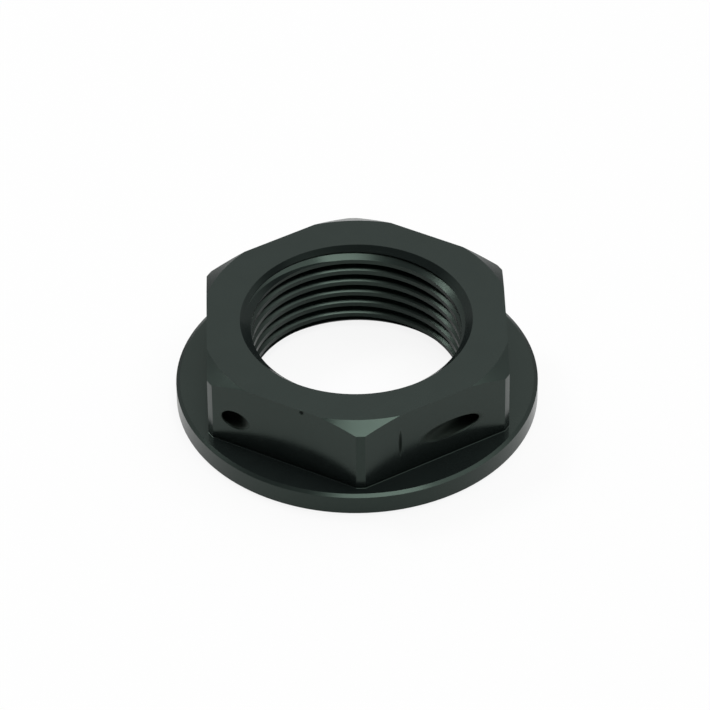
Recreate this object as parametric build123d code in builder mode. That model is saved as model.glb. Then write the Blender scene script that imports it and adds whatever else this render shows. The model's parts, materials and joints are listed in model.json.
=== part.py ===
from build123d import *
import math
import os

# Steering nut: a flanged hexagon nut turned and milled from one bar of aluminium.
# Millimetres. The thread axis is Z, and the bearing face of the flange lies at Z = 0.
# Two corners of the hexagon lie on the Y axis.

# Hexagon. Its sharp corners are turned down, and chamfered towards the top face.
across_flats = 32.0
corner_relief = 0.275
corner_chamfer_width = 1.6
corner_chamfer_angle = 30.0
hexagon_height = 8.1
root_radius = 0.1

# Flange. It stands out past the turned corners.
flange_reach = 1.3
flange_thickness = 2.6
rim_top_width = 0.4
rim_top_angle = 30.0
rim_bottom_break = 0.25

# Bore for an M24 x 1.5 thread, at the diameter where the roots of the thread lie
thread_diameter = 24.0
mouth_chamfer = 0.45

# Holes for the locking wire, one across every second corner
wire_hole_diameter = 2.0
wire_hole_count = 3
wire_hole_angle = 42.2
wire_mouth_inset = 3.3
wire_hole_rise = 3.5
wire_mouth_break = 0.15

# The six sides, and where the first corner stands
side_count = 6
first_corner = 90.0

# Worked out from the sizes above
height = flange_thickness + hexagon_height
flat_distance = across_flats / 2
half_side_angle = 180.0 / side_count
half_face = flat_distance * math.tan(math.radians(half_side_angle))
corner_radius = math.hypot(flat_distance, half_face) - corner_relief
top_face_radius = corner_radius - corner_chamfer_width
corner_chamfer_drop = corner_chamfer_width * math.tan(math.radians(corner_chamfer_angle))
flange_radius = corner_radius + flange_reach
rim_top_drop = rim_top_width * math.tan(math.radians(rim_top_angle))

# The wire hole enters a flat at a set distance from its corner and runs inwards at a set angle.
# Its axis then passes the thread axis at this distance, square to a ray at this turn from the corner.
wire_angle = math.radians(wire_hole_angle)
wire_axis_distance = (
    flat_distance * math.cos(wire_angle)
    + (half_face - wire_mouth_inset) * math.sin(wire_angle)
)
wire_ray = first_corner + half_side_angle - wire_hole_angle

with BuildPart() as steering_nut:
    # The blank as it leaves the lathe: flange, root of the hexagon and chamfered head
    with BuildSketch(Plane.XZ):
        with BuildLine():
            Polyline(
                (0, 0),
                (flange_radius - rim_bottom_break, 0),
                (flange_radius, rim_bottom_break),
                (flange_radius, flange_thickness - rim_top_drop),
                (flange_radius - rim_top_width, flange_thickness),
                (corner_radius, flange_thickness),
                (corner_radius, height - corner_chamfer_drop),
                (top_face_radius, height),
                (0, height),
                close=True,
            )
        make_face()
    revolve(axis=Axis.Z)

    # Six flats milled down to the flange, which leave a narrow turned land on each corner
    with BuildSketch(Plane.XY.offset(flange_thickness)):
        Circle(flange_radius)
        RegularPolygon(
            flat_distance,
            side_count,
            major_radius=False,
            rotation=first_corner,
            mode=Mode.SUBTRACT,
        )
    extrude(amount=hexagon_height, mode=Mode.SUBTRACT)

    # Small radius left by the cutter where the flats and lands run into the flange
    root_edges = (
        steering_nut.edges()
        .filter_by_position(Axis.Z, flange_thickness, flange_thickness)
        .filter_by(lambda edge: edge.length < across_flats)
    )
    fillet(root_edges, radius=root_radius)

    # Through bore with a 45 degree lead-in at both mouths
    Hole(thread_diameter / 2)
    mouths = steering_nut.edges().filter_by(GeomType.CIRCLE)
    chamfer(mouths.filter_by(lambda edge: edge.radius == thread_diameter / 2), length=mouth_chamfer)

    # Three holes drilled aslant across the corners, clear of the thread
    lying_square_to_the_ray = (90, 0, 0)
    with Locations((0, 0, flange_thickness + wire_hole_rise)):
        with PolarLocations(wire_axis_distance, wire_hole_count, start_angle=wire_ray):
            Cylinder(
                wire_hole_diameter / 2,
                2 * flange_radius,
                rotation=lying_square_to_the_ray,
                mode=Mode.SUBTRACT,
            )

    # The edges of their six slanted mouths are broken by hand
    slanted_mouths = steering_nut.edges().filter_by(GeomType.ELLIPSE)
    chamfer(slanted_mouths, length=wire_mouth_break)

steering_nut.part.label = "steering_nut"

os.makedirs("parts", exist_ok=True)
export_step(steering_nut.part, "parts/steering_nut.step")
print("steering_nut:", len(steering_nut.part.solids()), "solid,", round(steering_nut.part.volume, 1), "mm3")
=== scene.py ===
# %% [markdown]
# A steering nut in black anodised aluminium: a hexagon with a round flange below it, turned and
# milled from one bar, with a fine thread inside. The solid model already holds the flange, the
# flats, the chamfers and the three slanted wire holes, at their real size. It comes in first, as a
# fixed frame. This lesson adds what the solid leaves out: the thread, the finish with its marks,
# and the light.

# %% The solid model
import json
import math

import bpy
from mathutils import Matrix, Vector


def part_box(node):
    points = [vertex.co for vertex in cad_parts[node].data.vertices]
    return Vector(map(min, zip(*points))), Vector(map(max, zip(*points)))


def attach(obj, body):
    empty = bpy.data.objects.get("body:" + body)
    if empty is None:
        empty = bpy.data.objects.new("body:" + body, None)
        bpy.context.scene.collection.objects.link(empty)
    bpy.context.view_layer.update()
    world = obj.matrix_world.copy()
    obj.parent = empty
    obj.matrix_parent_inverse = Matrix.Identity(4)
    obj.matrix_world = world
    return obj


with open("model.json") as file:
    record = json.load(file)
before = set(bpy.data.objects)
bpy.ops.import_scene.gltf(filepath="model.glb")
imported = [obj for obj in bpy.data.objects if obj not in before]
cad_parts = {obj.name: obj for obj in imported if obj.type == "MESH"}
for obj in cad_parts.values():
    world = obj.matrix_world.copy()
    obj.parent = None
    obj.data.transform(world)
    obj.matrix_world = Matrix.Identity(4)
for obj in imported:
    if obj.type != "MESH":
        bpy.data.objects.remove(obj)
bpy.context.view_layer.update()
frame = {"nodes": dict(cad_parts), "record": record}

MM = 0.001
nut = frame["nodes"]["steering_nut"]
lowest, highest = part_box("steering_nut")
nut_height = highest.z - lowest.z
flange_radius = highest.x
print(f"nut: {2 * flange_radius / MM:.2f} mm across the flange, {nut_height / MM:.2f} mm high")

# %% [markdown]
# Node trees are easier to read when each node is placed and wired in one statement. The helper
# makes a node, sets its options and fills its inputs. An input takes a plain value, another node,
# or one of its outputs. It goes by its name, or by its number where a node has several inputs of
# one name. In a Mix node 0 is the share, 2 and 3 are the two numbers, and 6 and 7 the two colours.

# %% Helpers for node trees
def node(tree, kind, inputs=None, **options):
    made = tree.nodes.new(kind)
    for name, value in options.items():
        setattr(made, name, value)
    for name, value in (inputs or {}).items():
        socket = made.inputs[name]
        if isinstance(value, bpy.types.Node):
            value = value.outputs[0]
        if isinstance(value, bpy.types.NodeSocket):
            tree.links.new(value, socket)
        else:
            socket.default_value = value
    return made


def maths(tree, operation, first, second):
    return node(tree, "ShaderNodeMath", {0: first, 1: second}, operation=operation)


def length(tree, vector):
    made = node(tree, "ShaderNodeVectorMath", {0: vector}, operation="LENGTH")
    return made.outputs["Value"]


def fade(tree, value, start, end, low=0.0, high=1.0, curve="LINEAR"):
    """A number that goes from low to high while the value goes from start to end."""
    ends = {"From Min": start, "From Max": end, "To Min": low, "To Max": high}
    return node(tree, "ShaderNodeMapRange", {"Value": value, **ends}, interpolation_type=curve)


# %% Helpers for mixing and noise
def blend(tree, share, first, second):
    """One colour fading into another."""
    ends = {0: share, 6: first, 7: second}
    return node(tree, "ShaderNodeMix", ends, data_type="RGBA").outputs[2]


def between(tree, share, first, second):
    """One number fading into another."""
    ends = {0: share, 2: first, 3: second}
    return node(tree, "ShaderNodeMix", ends, data_type="FLOAT").outputs[0]


def noise(tree, place, size, detail=2.0):
    """Noise with lumps of about this size."""
    sizes = {"Vector": place, "Scale": 1.0 / size, "Detail": detail}
    return node(tree, "ShaderNodeTexNoise", sizes)


# %% [markdown]
# Black anodising is a hard, clear oxide skin with a dark dye in it, a few hundredths of a
# millimetre thick. Little light comes back out of the dye, so what the eye sees is mostly the
# gloss of the skin. A dark, non-metal Principled shader with a slightly green, broad gloss says
# just that. Two things break up the gloss: clouds in the dye, and a fine satin tooth from the
# etching bath. Both are noise in the nut's own coordinates, which needs no image and has no
# seams.

# %% Sizes of the finish
DYE = (0.0095, 0.0130, 0.0125, 1.0)
DYE_CLOUD = (0.0120, 0.0160, 0.0152, 1.0)
GLOSS_TINT = (0.72, 1.00, 0.84, 1.0)
SKIN_IOR = 1.4
ROUGH_LOW = 0.18
ROUGH_HIGH = 0.22
CLOUD_SIZE = 3.0 * MM
CLOUD_DETAIL = 3.0
CLOUD_THIN = 0.3
CLOUD_DENSE = 0.7
TOOTH_SIZE = 0.12 * MM
TOOTH_DEPTH = 0.0010 * MM
print(f"finish: clouds of {CLOUD_SIZE / MM:.1f} mm, tooth of {TOOTH_SIZE / MM:.2f} mm")

# %% [markdown]
# The wire holes were drilled, and nobody polished them. Their walls and the broken edges of their
# mouths are rougher and duller than the skin outside, and their colour is painted darker there as
# painted shade in the holes. The record gives a point and a direction for each hole, and what lies
# within the drill's reach of that line belongs to the hole.

# %% Sizes of the drilled walls
WIRE_HOLES = [m for m in frame["record"]["mounts"] if m["name"].startswith("wire_hole")]
drill_radius = WIRE_HOLES[0]["dims"]["r_mm"] * MM
DRILLED_MARGIN = 0.25 * MM
# Painted shade: the colour of the hole walls, darker than the skin.
HOLE_SHADE = (0.0070, 0.0085, 0.0070, 1.0)
DRILLED_ROUGH = 0.6
print(len(WIRE_HOLES), "wire holes,", round(2 * drill_radius / MM, 2), "mm wide")

# %% [markdown]
# A dark pit sits high on the front left flat, and a short dark scratch runs down the front right
# flat. Both are painted near black and rough, and bumped a little inwards. Each is an ellipsoid
# around a point at the flat. Its distance is counted in its own reach, and noise is added to it, so
# the mark is full at its heart and ends in a ragged edge.

# %% Sizes of the two marks
PIT_PLACE = (-6.10 * MM, -14.95 * MM, 10.45 * MM)
PIT_REACH = (0.30 * MM, 0.30 * MM, 0.30 * MM)
SCRATCH_PLACE = (4.22 * MM, -16.04 * MM, 6.8 * MM)
SCRATCH_REACH = (0.21 * MM, 0.21 * MM, 1.7 * MM)
MARK_EDGE = 1.45
MARK_HEART = 0.7
RAGGED_SIZE = 0.15 * MM
RAGGED_SHARE = 0.6
# The near black painted on the pit and the scratch.
DARK_MARK = (0.0020, 0.0022, 0.0022, 1.0)
DARK_MARK_ROUGH = 0.9
DARK_MARK_DEPTH = 0.05 * MM
print(f"marks: pit {2 * PIT_REACH[0] / MM:.1f} mm, scratch {2 * SCRATCH_REACH[2] / MM:.1f} mm long")

# %% Masks of the marks and of the holes
def spot(tree, place, middle, reach):
    """1 in the middle of a mark and 0 around it, with a ragged edge."""
    away = node(tree, "ShaderNodeVectorMath", {0: place, 1: middle}, operation="SUBTRACT")
    scaled = node(tree, "ShaderNodeVectorMath", {0: away, 1: reach}, operation="DIVIDE")
    ragged = maths(tree, "MULTIPLY", noise(tree, place, RAGGED_SIZE), RAGGED_SHARE)
    far = maths(tree, "ADD", length(tree, scaled), ragged)
    return fade(tree, far, MARK_EDGE, MARK_HEART, curve="SMOOTHSTEP")


def near_line(tree, place, point, direction):
    """1 on the wall of a hole about this line and 0 outside the hole."""
    away = node(tree, "ShaderNodeVectorMath", {0: place, 1: point}, operation="SUBTRACT")
    across = node(tree, "ShaderNodeVectorMath", {0: away, 1: direction}, operation="CROSS_PRODUCT")
    return fade(tree, length(tree, across), drill_radius + DRILLED_MARGIN, drill_radius)


# %% Black anodised finish
def anodised(name):
    material = bpy.data.materials.new(name)
    material.use_nodes = True
    tree = material.node_tree
    shader = tree.nodes["Principled BSDF"]
    shader.inputs["Metallic"].default_value = 0.0
    shader.inputs["IOR"].default_value = SKIN_IOR
    shader.inputs["Specular Tint"].default_value = GLOSS_TINT

    place = node(tree, "ShaderNodeTexCoord").outputs["Object"]
    pit = spot(tree, place, PIT_PLACE, PIT_REACH)
    dark_marks = maths(tree, "MAXIMUM", pit, spot(tree, place, SCRATCH_PLACE, SCRATCH_REACH))
    walls = [near_line(tree, place, hole["pos_m"], hole["axis"]) for hole in WIRE_HOLES]
    drilled_and_shaded = walls[0]
    for wall in walls[1:]:
        drilled_and_shaded = maths(tree, "MAXIMUM", drilled_and_shaded, wall)

    clouds = noise(tree, place, CLOUD_SIZE, CLOUD_DETAIL)
    dye_and_shade = blend(tree, clouds, DYE, DYE_CLOUD)
    # Painted shade: the walls of the holes take a darker colour.
    dye_and_shade = blend(tree, drilled_and_shaded, dye_and_shade, HOLE_SHADE)
    # The pit and the scratch are painted near black.
    dye_and_shade = blend(tree, dark_marks, dye_and_shade, DARK_MARK)

    rough = fade(tree, clouds, CLOUD_THIN, CLOUD_DENSE, ROUGH_LOW, ROUGH_HIGH)
    rough = between(tree, drilled_and_shaded, rough, DRILLED_ROUGH)
    rough = between(tree, dark_marks, rough, DARK_MARK_ROUGH)

    sunk = node(tree, "ShaderNodeBump", {"Height": dark_marks, "Distance": DARK_MARK_DEPTH}, invert=True)
    tooth = {"Height": noise(tree, place, TOOTH_SIZE), "Distance": TOOTH_DEPTH, "Normal": sunk}
    relief = node(tree, "ShaderNodeBump", tooth)

    tree.links.new(dye_and_shade, shader.inputs["Base Color"])
    tree.links.new(rough, shader.inputs["Roughness"])
    tree.links.new(relief.outputs[0], shader.inputs["Normal"])
    return material


skin = anodised("black_anodised")
print("material:", skin.name, "with", len(skin.node_tree.nodes), "nodes")

# %% The finish goes on the solid nut
nut.data.materials.clear()
nut.data.materials.append(skin)
print(nut.name, "wears", nut.data.materials[0].name)

# %% [markdown]
# The thread is M24 with a fine pitch of 1.5 mm, right handed. A tap leaves the roots at 24 mm,
# where the solid model's bore stands, so what is missing is the ridge between them: a 60 degree
# section with its tip cut flat, wound up the bore as a helix. It follows a path, so Geometry
# Nodes make it: a spiral, a trapezoid swept along it, and a cut at both mouths. The mouths are
# countersunk before tapping, so the ridge fades out on a 45 degree cone. The cutter is a ring
# whose section is the space that the thread may fill, and what lies inside both is the thread.
# The ridge's foot is seated a little way into the wall, so that no gap shows, and spare turns
# carry the spiral past the nut, so that the cut makes both of its ends.

# %% Thread sizes
THREAD_MOUNT = next(m for m in frame["record"]["mounts"] if m["name"] == "thread")
root_radius = THREAD_MOUNT["dims"]["r_mm"] * MM
PITCH = 1.5 * MM
CREST_RADIUS = 11.3 * MM
ROOT_FLAT = PITCH / 8
FLANK_SLOPE = math.tan(math.radians(30))
MOUTH_CHAMFER = 0.45 * MM
CUTTER_RADIUS = 10.8 * MM
SEAT_DEPTH = 0.02 * MM
CONE_CLEARANCE = 0.01 * MM
FIRST_CREST = 1.37 * MM
SPARE_TURNS = 2
STEPS_A_TURN = 180
SHARP_ANGLE = math.radians(10)

turns = math.ceil(nut_height / PITCH) + SPARE_TURNS
seat_radius = root_radius + SEAT_DEPTH
ridge_depth = seat_radius - CREST_RADIUS
ridge_foot = PITCH - ROOT_FLAT + 2 * SEAT_DEPTH * FLANK_SLOPE
ridge_tip = ridge_foot - 2 * ridge_depth * FLANK_SLOPE
mouth_radius = root_radius + MOUTH_CHAMFER + CONE_CLEARANCE
THREAD_SIZES = {
    "Pitch": PITCH,
    "Turns": float(turns),
    "Middle Radius": (seat_radius + CREST_RADIUS) / 2,
    "Ridge Foot": ridge_foot,
    "Ridge Tip": ridge_tip,
    "Ridge Depth": ridge_depth,
    "First Crest": FIRST_CREST,
    "Nut Height": nut_height,
    "Mouth Radius": mouth_radius,
    "Cut Depth": mouth_radius - CUTTER_RADIUS,
}
print(f"thread: crest {2 * CREST_RADIUS / MM:.1f} mm, tip flat {ridge_tip / MM:.3f} mm")
print(f"  pitch {PITCH / MM:.1f} mm, {turns} turns before the cut")

# %% Helpers for the thread tree
def new_tree(name, floats):
    """A Geometry Nodes tree with one named input for each size, and the material as the last."""
    tree = bpy.data.node_groups.new(name, "GeometryNodeTree")
    for title in floats:
        tree.interface.new_socket(title, in_out="INPUT", socket_type="NodeSocketFloat")
    tree.interface.new_socket("Finish", in_out="INPUT", socket_type="NodeSocketMaterial")
    tree.interface.new_socket("Mesh", in_out="OUTPUT", socket_type="NodeSocketGeometry")
    return tree


def upright(tree, curve):
    """The curve with its cross-section kept level, so a section swept along it never tips over."""
    return node(tree, "GeometryNodeSetCurveNormal", {"Curve": curve}, mode="Z_UP")


def lying_trapezoid(tree, foot, tip, depth):
    """A trapezoid whose wide foot stands away from the axis and whose tip points towards it."""
    section = node(
        tree,
        "GeometryNodeCurvePrimitiveQuadrilateral",
        {"Bottom Width": foot, "Top Width": tip, "Height": depth, "Offset": 0.0},
        mode="TRAPEZOID",
    )
    quarter = math.radians(90)
    return node(tree, "GeometryNodeTransform", {"Geometry": section, "Rotation": (0, 0, quarter)})


# %% The ridge, and the space that it may fill
def ridge_mesh(tree, sizes):
    """The trapezoid swept along the spiral, with its first crest at the right height."""
    spiral = node(
        tree,
        "GeometryNodeCurveSpiral",
        {
            "Resolution": STEPS_A_TURN,
            "Rotations": sizes["Turns"],
            "Start Radius": sizes["Middle Radius"],
            "End Radius": sizes["Middle Radius"],
            "Height": maths(tree, "MULTIPLY", sizes["Pitch"], sizes["Turns"]),
            "Reverse": True,
        },
    )
    section = lying_trapezoid(tree, sizes["Ridge Foot"], sizes["Ridge Tip"], sizes["Ridge Depth"])
    ridge = node(
        tree,
        "GeometryNodeCurveToMesh",
        {"Curve": upright(tree, spiral), "Profile Curve": section, "Fill Caps": True},
    )
    start = maths(tree, "SUBTRACT", sizes["First Crest"], sizes["Pitch"])
    lift = node(tree, "ShaderNodeCombineXYZ", {"Z": start})
    return node(tree, "GeometryNodeTransform", {"Geometry": ridge, "Translation": lift})


def cutter_mesh(tree, sizes):
    """A ring as high as the nut outside, and lower inwards by a 45 degree cone at each end."""
    half_depth = maths(tree, "MULTIPLY", sizes["Cut Depth"], 0.5)
    middle_radius = maths(tree, "SUBTRACT", sizes["Mouth Radius"], half_depth)
    ring = node(
        tree,
        "GeometryNodeCurvePrimitiveCircle",
        {"Resolution": STEPS_A_TURN, "Radius": middle_radius},
        mode="RADIUS",
    )
    both_cones = maths(tree, "MULTIPLY", sizes["Cut Depth"], 2.0)
    inner_height = maths(tree, "SUBTRACT", sizes["Nut Height"], both_cones)
    space = lying_trapezoid(tree, sizes["Nut Height"], inner_height, sizes["Cut Depth"])
    swept = {"Curve": upright(tree, ring), "Profile Curve": space}
    cutter = node(tree, "GeometryNodeCurveToMesh", swept)
    half_height = maths(tree, "MULTIPLY", sizes["Nut Height"], 0.5)
    lift = node(tree, "ShaderNodeCombineXYZ", {"Z": half_height})
    return node(tree, "GeometryNodeTransform", {"Geometry": cutter, "Translation": lift})


# %% Thread tree
def thread_tree():
    tree = new_tree("thread_ridge", THREAD_SIZES)
    sizes = tree.nodes.new("NodeGroupInput").outputs
    ridge = ridge_mesh(tree, sizes)
    cutter = cutter_mesh(tree, sizes)
    cut = node(tree, "GeometryNodeMeshBoolean", operation="INTERSECT", solver="EXACT")
    for solid in (cutter, ridge):
        tree.links.new(solid.outputs[0], cut.inputs["Mesh 2"])
    whole = node(tree, "GeometryNodeRealizeInstances", {"Geometry": cut})
    finish = {"Geometry": whole, "Material": sizes["Finish"]}
    node(tree, "NodeGroupOutput", {"Mesh": node(tree, "GeometryNodeSetMaterial", finish)})
    print("thread tree:", len(tree.nodes), "nodes,", len(tree.links), "links")
    return tree


# %% [markdown]
# A tree works through a modifier. Its inputs are set by each socket's identifier, the result is
# read off once as a plain mesh, and the modifier goes, so that the piece needs nothing else. The
# ridge is shaded smooth along its turns, and its edges are marked sharp by their angle.

# %% From tree to plain mesh
def grow(name, tree, sizes, finish):
    seed = bpy.data.objects.new(name + "_seed", bpy.data.meshes.new(name + "_seed"))
    bpy.context.scene.collection.objects.link(seed)
    grower = seed.modifiers.new("grow", "NODES")
    grower.node_group = tree
    for item in tree.interface.items_tree:
        if item.in_out == "INPUT":
            grower[item.identifier] = finish if item.name == "Finish" else sizes[item.name]
    evaluated = seed.evaluated_get(bpy.context.evaluated_depsgraph_get())
    mesh = bpy.data.meshes.new_from_object(evaluated)
    bpy.data.objects.remove(seed)
    piece = bpy.data.objects.new(name, mesh)
    bpy.context.scene.collection.objects.link(piece)
    return piece


thread = grow("thread", thread_tree(), THREAD_SIZES, skin)
thread.data.shade_smooth()
thread.data.set_sharp_from_angle(angle=SHARP_ANGLE)
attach(thread, "root")
reach = [math.hypot(v.co.x, v.co.y) / MM for v in thread.data.vertices]
heights = [v.co.z / MM for v in thread.data.vertices]
print("thread mesh:", len(thread.data.polygons), "faces")
print(f"  radius {min(reach):.3f} to {max(reach):.3f} mm")
print(f"  z {min(heights):.3f} to {max(heights):.3f} mm")

# %% [markdown]
# A small dark part on white paper shows mostly reflections, so the light is built from large plain
# surfaces: white paper below, a pale wall behind, a ceiling that is brighter on the right, and two
# soft boxes. The camera's side of the room stays dark. The paper shows white to the camera, yet its
# lit share keeps the shadow of the nut. In the gloss of the nut a part of the paper glows as well.
# It glows less from the flange's edge inwards, and least inside the bore: a painted shadow of the
# nut on the paper, seen only in the gloss. The square is so large that the camera never sees its
# edge.

# %% Floor
WHITE = (1.0, 1.0, 1.0, 1.0)
FLOOR_HALF = 150 * MM
FLOOR_WHITE = (0.90, 0.90, 0.90, 1.0)
SHADOW_SHARE = 0.12
# Painted shadow of the nut: in the gloss the paper glows less inside the bore.
BORE_GLOW = 0.10
PAPER_GLOW = 0.50


def paper():
    material = bpy.data.materials.new("white_paper")
    material.use_nodes = True
    tree = material.node_tree
    tree.nodes.clear()
    lit = node(tree, "ShaderNodeBsdfDiffuse", {"Color": FLOOR_WHITE})
    glow = node(tree, "ShaderNodeEmission", {"Color": WHITE, "Strength": 1.0})
    rays = tree.nodes.new("ShaderNodeLightPath").outputs
    seen = maths(tree, "MAXIMUM", rays["Is Camera Ray"], rays["Is Transmission Ray"])
    seen = maths(tree, "MULTIPLY", seen, 1.0 - SHADOW_SHARE)
    from_axis = length(tree, node(tree, "ShaderNodeTexCoord").outputs["Object"])
    # Painted shadow: the paper's glow in the gloss falls from the flange's edge in to the bore.
    glow_share = fade(tree, from_axis, root_radius, flange_radius, BORE_GLOW, PAPER_GLOW)
    mirrored = maths(tree, "MULTIPLY", rays["Is Glossy Ray"], glow_share)
    share = maths(tree, "MAXIMUM", seen, mirrored)
    mixed = node(tree, "ShaderNodeMixShader", {0: share, 1: lit, 2: glow})
    node(tree, "ShaderNodeOutputMaterial", {"Surface": mixed})
    return material


floor_mesh = bpy.data.meshes.new("floor")
corners = [(x * FLOOR_HALF, y * FLOOR_HALF, 0) for x, y in ((-1, -1), (1, -1), (1, 1), (-1, 1))]
floor_mesh.from_pydata(corners, [], [(0, 1, 2, 3)])
floor_mesh.materials.append(paper())
floor = bpy.data.objects.new("floor", floor_mesh)
bpy.context.scene.collection.objects.link(floor)
print(f"floor: {2 * FLOOR_HALF / MM:.0f} mm square")

# %% [markdown]
# The room is a world shader. Each direction has an X, Y and Z part between -1 and 1, and each
# surface of the room fades in over a span of one of them: +Y is behind the nut, +Z is overhead.

# %% World
ROOM_LIGHT = 0.05
WALL_LIGHT = 0.65
WALL_FOOT = 0.25
WALL_BEGINS = (0.0, 0.4)
WALL_RISES = (0.1, 0.6)
CEILING_LEFT = 0.15
CEILING_RIGHT = 2.00
LEFT_TO_RIGHT = (-0.5, 0.5)
CEILING_BEGINS = (0.6, 0.85)
CEILING_FRONT = (-0.65, -0.1)


def studio():
    world = bpy.data.worlds.new("studio")
    world.use_nodes = True
    tree = world.node_tree
    tree.nodes.clear()
    direction = node(tree, "ShaderNodeTexCoord").outputs["Generated"]
    along = node(tree, "ShaderNodeSeparateXYZ", {"Vector": direction}).outputs

    def over(axis, span, low=0.0, high=1.0):
        return fade(tree, along[axis], *span, low, high, "SMOOTHSTEP")

    foot_to_top = over("Z", WALL_RISES, WALL_FOOT, WALL_LIGHT)
    wall = maths(tree, "MULTIPLY", over("Y", WALL_BEGINS), foot_to_top)
    left_to_right = over("X", LEFT_TO_RIGHT, CEILING_LEFT, CEILING_RIGHT)
    ceiling = maths(tree, "MULTIPLY", over("Z", CEILING_BEGINS), left_to_right)
    ceiling = maths(tree, "MULTIPLY", ceiling, over("Y", CEILING_FRONT))
    strength = maths(tree, "ADD", maths(tree, "ADD", wall, ceiling), ROOM_LIGHT)

    light = node(tree, "ShaderNodeBackground", {"Color": WHITE, "Strength": strength})
    white = node(tree, "ShaderNodeBackground", {"Color": WHITE, "Strength": 1.0})
    seen = tree.nodes.new("ShaderNodeLightPath").outputs["Is Camera Ray"]
    mixed = node(tree, "ShaderNodeMixShader", {0: seen, 1: light, 2: white})
    node(tree, "ShaderNodeOutputWorld", {"Surface": mixed})
    return world


bpy.context.scene.world = studio()
print(f"room: wall {WALL_LIGHT}, ceiling {CEILING_LEFT} to {CEILING_RIGHT}, the rest {ROOM_LIGHT}")

# %% Soft boxes
BOX_DISTANCE = 0.9
SOFT_BOXES = {
    "top_box": dict(azimuth=-62, elevation=77, width=0.46, height=0.24, radiance=5.2),
    "left_box": dict(azimuth=141, elevation=51.5, width=0.25, height=0.20, radiance=10.5),
}


def soft_box(name, azimuth, elevation, width, height, radiance):
    """A rectangular lamp that faces the nut, seen in its gloss but not by the camera."""
    lamp = bpy.data.lights.new(name, "AREA")
    lamp.shape = "RECTANGLE"
    lamp.size = width
    lamp.size_y = height
    lamp.energy = radiance * math.pi * width * height
    stand = bpy.data.objects.new(name, lamp)
    turn, lift = math.radians(azimuth), math.radians(elevation)
    level = math.cos(lift)
    away = Vector((math.cos(turn) * level, math.sin(turn) * level, math.sin(lift)))
    stand.location = away * BOX_DISTANCE
    stand.rotation_euler = away.to_track_quat("Z", "Y").to_euler()
    stand.visible_camera = False
    bpy.context.scene.collection.objects.link(stand)
    print(f"{name}: {width:.2f} by {height:.2f} m, {lamp.energy:.2f} W")


for name, sizes in SOFT_BOXES.items():
    soft_box(name, **sizes)

# %% [markdown]
# The camera stands in front, well above the nut, with a long lens: parallel edges hardly converge.
# It looks at a point in the bore, is turned and rolled by less than a degree, and has its lens
# given in pixels of the square picture. The middle of the picture lies just off the lens's axis,
# which the shift of the camera takes up.

# %% Camera
CAMERA_ELEVATION = math.radians(40.3525)
CAMERA_TURN = math.radians(-0.944)
CAMERA_ROLL = math.radians(-0.6554)
CAMERA_DISTANCE = 546.24 * MM
AIM = Vector((0, 0, 5 * MM))
FRAME_PIXELS = 710
FOCAL_PIXELS = 5080.12
MIDDLE_X = 356.787
MIDDLE_Y = 358.662
SENSOR_WIDTH = 36.0
NEAREST_SEEN = 0.01
FURTHEST_SEEN = 20.0


def camera():
    data = bpy.data.cameras.new("camera")
    data.sensor_width = SENSOR_WIDTH
    data.lens = FOCAL_PIXELS / FRAME_PIXELS * SENSOR_WIDTH
    data.shift_x = (FRAME_PIXELS / 2 - MIDDLE_X) / FRAME_PIXELS
    data.shift_y = (MIDDLE_Y - FRAME_PIXELS / 2) / FRAME_PIXELS
    data.clip_start = NEAREST_SEEN
    data.clip_end = FURTHEST_SEEN
    level = Matrix.Rotation(CAMERA_TURN, 3, "Z")
    forward = level @ Vector((0, math.cos(CAMERA_ELEVATION), -math.sin(CAMERA_ELEVATION)))
    right = level @ Vector((1, 0, 0))
    up = right.cross(forward)
    rolled_right = right * math.cos(CAMERA_ROLL) + up * math.sin(CAMERA_ROLL)
    rolled_up = up * math.cos(CAMERA_ROLL) - right * math.sin(CAMERA_ROLL)
    axes = Matrix((rolled_right, rolled_up, -forward)).transposed()
    stand = bpy.data.objects.new("camera", data)
    stand.matrix_world = Matrix.Translation(AIM - forward * CAMERA_DISTANCE) @ axes.to_4x4()
    bpy.context.scene.collection.objects.link(stand)
    print(f"camera: {data.lens:.1f} mm lens, {CAMERA_DISTANCE / MM:.0f} mm from the nut")
    return stand


bpy.context.scene.camera = camera()
bpy.context.scene.view_settings.view_transform = "Standard"
